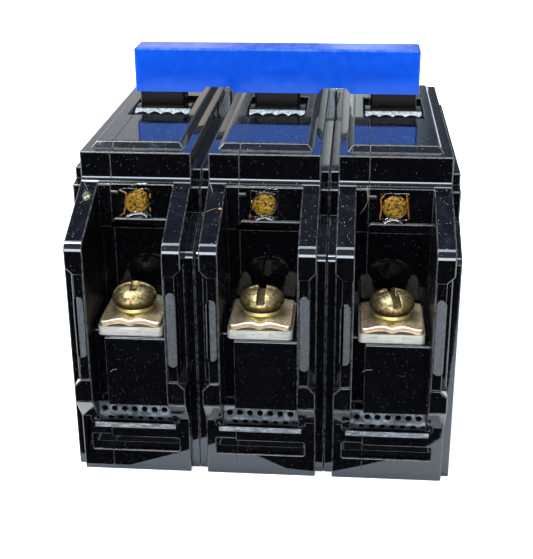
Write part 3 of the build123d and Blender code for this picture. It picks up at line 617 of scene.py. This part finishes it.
def wall_piece(name, pole, heights, look):
    """A closed piece on the upper wall; each height tells how far it stands out, or is negative beside it."""
    columns, rows = (round((high - low) / CELL) for low, high in (WALL_X, WALL_Z))

    def at(i, k):
        return WALL_X[0] + i * CELL, WALL_Z[0] + k * CELL

    tall = {(i, k): max(height(*at(i, k)) for height in heights)
            for i in range(columns + 1) for k in range(rows + 1)}
    kept = {(i, k) for i in range(columns) for k in range(rows)
            if max(tall[i, k], tall[i + 1, k], tall[i, k + 1], tall[i + 1, k + 1]) > 0.02}
    bm = bmesh.new()
    made = {}

    def corner(i, k, front):
        key = (i, k, front)
        if key not in made:
            x, z = at(i, k)
            out = max(-SUNK, tall[i, k]) if front else -BACK
            made[key] = bm.verts.new(((pole_x(pole) + x) * MM, (UPPER_WALL_Y - out) * MM, z * MM))
        return made[key]

    for i, k in kept:
        ring = [(i, k), (i + 1, k), (i + 1, k + 1), (i, k + 1)]
        bm.faces.new([corner(*c, True) for c in ring])
        bm.faces.new([corner(*c, False) for c in reversed(ring)])
        beside = ((i, k - 1), (i + 1, k), (i, k + 1), (i - 1, k))
        for a, b, other in zip(ring, ring[1:] + ring[:1], beside):
            if other not in kept:
                bm.faces.new([corner(*b, True), corner(*a, True), corner(*a, False), corner(*b, False)])
    piece(name, bm, look)


TUBE_SIDES = 6


def tube(name, points, radius, look):
    """A hair or scratch: a thin closed tube through points."""
    path = [Vector(p) for p in points]
    bm = bmesh.new()
    rings = []
    for i, place in enumerate(path):
        ahead = (path[min(i + 1, len(path) - 1)] - path[max(i - 1, 0)]).normalized()
        side = ahead.cross(Vector((0.3, -0.8, 0.52))).normalized()
        other = ahead.cross(side)
        rings.append([bm.verts.new((place + radius * (math.cos(t) * side + math.sin(t) * other)) * MM)
                      for t in (math.tau * n / TUBE_SIDES for n in range(TUBE_SIDES))])
    for low, high in zip(rings, rings[1:]):
        for n in range(TUBE_SIDES):
            after = (n + 1) % TUBE_SIDES
            bm.faces.new((low[n], low[after], high[after], high[n]))
    bm.faces.new(list(reversed(rings[0])))
    bm.faces.new(rings[-1])
    bmesh.ops.recalc_face_normals(bm, faces=bm.faces)
    piece(name, bm, look)


def bead(name, place, radii, tilt, look, seed):
    """An uneven drop lying on a sloping face."""
    bm = bmesh.new()
    bmesh.ops.create_icosphere(bm, subdivisions=4, radius=1.0)
    turn = Matrix.Rotation(math.radians(tilt), 3, "X")
    for vert in bm.verts:
        wobble = 1 + 0.12 * noise.noise(vert.co * 1.3 + Vector((seed, 0, 0)))
        shaped = Vector(c * r for c, r in zip(vert.co * wobble, radii))
        vert.co = (Vector(place) + turn @ shaped) * MM
    piece(name, bm, look)


# Resin of each pole, as X from the middle of the pole and Z: the plug's limits, the seed of its folds,
# its strings with their radii, the clear lobe's line and the thin clear arcs.
RESIN = {
    1: {"plug": (-0.73, 2.32, 52.1, 55.9), "seed": 1.0,
        "strings": [([(-3.0, 55.7), (-1.86, 55.1), (-1.75, 53.7), (-2.1, 52.3), (-2.5, 51.0),
                      (-3.3, 50.4)], 0.17),
                    ([(2.83, 54.9), (2.8, 54.3)], 0.2), ([(2.69, 52.1), (2.7, 51.6)], 0.17)],
        "lobe": [(-3.1, 49.9), (-2.4, 50.3), (-0.7, 51.2), (1.9, 51.4), (3.0, 50.3)],
        "arcs": [[(-1.4, 56.2), (0.4, 57.0), (2.2, 57.05)]]},
    2: {"plug": (-1.56, 2.11, 51.4, 55.3), "seed": 7.3,
        "strings": [([(-2.35, 54.0), (-2.3, 53.6)], 0.17), ([(-2.15, 52.8), (-2.2, 52.4)], 0.15),
                    ([(-2.7, 51.1), (-2.8, 50.6)], 0.17)],
        "lobe": [(-2.8, 49.4), (-1.6, 50.6), (0.17, 51.5), (1.8, 50.7), (2.9, 49.5)],
        "arcs": [[(0.4, 56.4), (1.5, 56.6), (2.5, 56.4)], [(-1.5, 55.5), (0.3, 55.8), (2.1, 55.5)]]},
    3: {"plug": (-2.2, 2.15, 51.6, 55.4), "seed": 13.1,
        "strings": [([(-2.1, 55.6), (-2.64, 54.95), (-2.48, 53.15), (-2.69, 50.9)], 0.15),
                    ([(2.25, 55.65), (2.54, 53.5), (2.82, 51.2)], 0.17)],
        "lobe": [(-2.65, 49.7), (-1.6, 50.8), (-0.2, 51.3), (1.2, 50.7), (2.13, 49.7)],
        "arcs": []},
}
FILM_EDGE = [(-2.6, 50.8), (2.7, 50.8), (2.7, 56.0), (-2.6, 56.0), (-2.6, 50.8)]
PLUG_TALL, PLUG_CRUMPLE = 0.5, 0.5
ORANGE, CLEAR, LINT = orange_resin(), clear_resin(), lint()
for pole, resin in RESIN.items():
    plug = lump(*resin["plug"], PLUG_TALL, PLUG_CRUMPLE, resin["seed"])
    wall_piece(f"seal_crust_{pole}", pole, [plug], LOOKS["amber_resin"])
    wall_piece(f"resin_strings_{pole}", pole, [strand(*item) for item in resin["strings"]], ORANGE)
    lobe = resin["lobe"]
    middle = [(0.62 * x, 0.5 * z + 0.5 * lobe[0][1] + 0.1) for x, z in lobe]
    clear = [strand(lobe, 0.28), strand(middle, 0.85, 0.4)]
    clear += [strand(arc, 0.13) for arc in resin["arcs"]]
    wall_piece(f"clear_varnish_{pole}", pole, clear + [strand(FILM_EDGE, 0.1)], CLEAR)

WING_TILT = 24                # degrees of the wings' sloping tops
HAIR_R, SCRATCH_R = 0.04, 0.05
bead("wing_bead", (-33.8, -34.5, 55.4), (0.9, 1.3, 0.45), WING_TILT, green_resin(), 3.0)
bead("wing_fleck", (-7.8, -37.1, 54.3), (0.5, 0.28, 0.2), WING_TILT, ORANGE, 8.0)
HAIRS = {
    "hair_2": [(-10.4, -38.0, 53.9), (-9.4, -37.3, 54.2), (-8.4, -37.0, 54.35)],
    "hair_3": [(19.7, -29.8, 57.6), (19.85, -31.8, 56.7), (20.0, -34.1, 55.65)],
    "wall_hair_3": [(x, WALL_HAIR_Y, z) for x, z in ((19.6, 57.2), (19.9, 54.6), (19.5, 53.4), (19.0, 52.6),
                                                     (18.5, 51.9))],
}
SCRATCHES = {
    "scratch_1": [(x, BLOCK_FRONT_Y, z) for x, z in ((-29.2, 22.7), (-28.6, 23.3), (-27.8, 23.4))],
    "scratch_3": [(x, BLOCK_FRONT_Y, z) for x, z in ((19.6, 24.5), (20.5, 25.0), (21.5, 25.0))],
}
for lines, radius in ((HAIRS, HAIR_R), (SCRATCHES, SCRATCH_R)):
    for name, points in lines.items():
        tube(name, points, radius, LINT)


# ---- floor, reflector card and light ---------------------------------------
def stage_mesh(name, vertices, faces, look):
    """A piece of the room, which isn't part of the object."""
    mesh = bpy.data.meshes.new(name)
    mesh.from_pydata([[c * MM for c in v] for v in vertices], [], faces)
    made = bpy.data.objects.new(name, mesh)
    made.data.materials.append(look)
    bpy.context.scene.collection.objects.link(made)
    return made


def floor_look():
    """White floor that shines a little, so that it stays white behind the object."""
    made, g = material("floor_look")
    coordinates = g.add("TexCoord").outputs["Object"]
    tone = g.noise(coordinates, 6.0, 4.0)
    base = g.colour(tone, (0.80, 0.80, 0.80, 1), (0.84, 0.84, 0.84, 1))
    g.finish({"Base Color": base, "Roughness": 0.9,
              "Emission Color": (0.82, 0.92, 1.0, 1), "Emission Strength": 0.75})
    return made


def card_look():
    """Dull black paper."""
    made, g = material("card_look")
    tone = g.noise(g.add("TexCoord").outputs["Object"], 20.0)
    base = g.colour(tone, (0.002, 0.002, 0.002, 1), (0.005, 0.005, 0.006, 1))
    g.finish({"Base Color": base, "Roughness": 1.0, "Specular IOR Level": 0.0})
    return made


FLOOR = 4000.0
stage_mesh("floor", [(-FLOOR, -FLOOR, 0), (FLOOR, -FLOOR, 0), (FLOOR, FLOOR, 0), (-FLOOR, FLOOR, 0)],
           [(0, 1, 2, 3)], floor_look())

# A black card lies in front of the object, so that its upright faces mirror black; only mirror rays see it.
# Each pair is a place along the object's front and how far the pale floor reaches in front of the foot there.
CARD_EDGE = ((-60, 40), (-44, 6), (-38, 1), (-27, 1), (-15, 8), (-10, 11), (-5, 9), (5, 2), (13, 1), (20, 4),
             (32, 10), (37, 16), (42, 45))
CARD_Z = 0.4
CARD_FAR_Y, CARD_SPREAD = -1500, 9    # its far edge, and how much wider it is there
front = [(x, FOOT_Y - reach, CARD_Z) for x, reach in CARD_EDGE]
outer = [(x * CARD_SPREAD, CARD_FAR_Y, CARD_Z) for x, _ in CARD_EDGE]
count = len(CARD_EDGE)
card = stage_mesh("front_card", front + outer,
                  [(i, i + 1, count + i + 1, count + i) for i in range(count - 1)], card_look())
card.visible_camera = card.visible_diffuse = card.visible_shadow = card.visible_transmission = False


def area_light(name, place, target, size, power, colour=(1, 1, 1)):
    """A rectangular lamp at a place, turned to a target; the power is in watts."""
    lamp = bpy.data.lights.new(name, "AREA")
    lamp.shape = "RECTANGLE"
    lamp.size, lamp.size_y = (s * MM for s in size)
    lamp.energy = power
    lamp.color = colour
    made = bpy.data.objects.new(name, lamp)
    made.location = Vector(place) * MM
    made.rotation_euler = (Vector(target) - Vector(place)).to_track_quat("-Z", "Y").to_euler()
    bpy.context.scene.collection.objects.link(made)


area_light("ceiling_lamp", (-100, -30, 900), (-100, -30, 0), (1000, 380), 9)
area_light("near_lamp", (-340, -180, 890), (0, -30, 30), (260, 220), 9)
area_light("front_window", (-150, -1500, 380), (0, 0, 30), (1300, 560), 30, (0.97, 0.98, 1.0))


def studio_world():
    """Plain room: low walls with pale and dark stretches round the object, and a dim upper part."""
    world = bpy.data.worlds.new("studio")
    bpy.context.scene.world = world
    world.use_nodes = True
    g = Graph(world.node_tree)
    x, y, z = g.add("SeparateXYZ", {0: g.add("TexCoord").outputs["Generated"]}).outputs
    low = g.step(z, 0.62, 0.74, 1.0, 0.0)
    back = g.step(y, 0.1, 0.35)
    side = g.math("MULTIPLY", g.math("ADD", x, 0.3), 2.0, clamp=True)
    wall = g.ramp(side, [(0.0, (0.7, 0.75, 0.82, 1)), (0.2, (0.75, 0.78, 0.82, 1)),
                         (0.33, (0.95, 0.84, 0.7, 1)), (0.41, (0.23, 0.24, 0.31, 1)),
                         (0.53, (0.22, 0.26, 0.3, 1)), (0.58, (1.1, 1.2, 1.15, 1)),
                         (0.64, (0.8, 0.95, 0.95, 1)), (0.74, (0.1, 0.13, 0.18, 1)),
                         (1.0, (0.08, 0.1, 0.12, 1))])
    front = g.ramp(z, [(0.0, (0.9, 0.9, 0.92, 1)), (0.5, (0.6, 0.62, 0.66, 1)),
                       (0.9, (0.42, 0.48, 0.58, 1))])
    room = g.colour(g.math("MULTIPLY", back, low), front, wall)
    room = g.colour(g.math("MULTIPLY", back, g.step(z, 0.7, 0.8)), room, (0.15, 0.165, 0.225, 1))
    background = g.add("Background", {"Color": room, "Strength": 1.0})
    g.add("OutputWorld", {"Surface": background.outputs[0]})


studio_world()


# ---- camera ----------------------------------------------------------------
def camera(place, pitch, yaw, roll, lens):
    """Place in millimetres; pitch is down, yaw is from +Y towards +X, in degrees."""
    pitch, yaw, roll = (math.radians(a) for a in (pitch, yaw, roll))
    ahead = Vector((math.sin(yaw) * math.cos(pitch), math.cos(yaw) * math.cos(pitch), -math.sin(pitch)))
    right = Vector((math.cos(yaw), -math.sin(yaw), 0))
    down = ahead.cross(right)
    across = math.cos(roll) * right + math.sin(roll) * down
    down = math.cos(roll) * down - math.sin(roll) * right
    data = bpy.data.cameras.new("camera")
    data.lens = lens
    data.sensor_width = 36.0
    data.clip_start, data.clip_end = 0.01, 20.0
    made = bpy.data.objects.new("camera", data)
    turn = Matrix((across, -down, -ahead)).transposed().to_4x4()
    made.matrix_world = Matrix.Translation(Vector(place) * MM) @ turn
    bpy.context.scene.collection.objects.link(made)
    bpy.context.scene.camera = made


camera((16.97, -228.93, 120.72), 22.715, -4.802, 0.379, 69.85)
bpy.context.scene.view_settings.view_transform = "Standard"
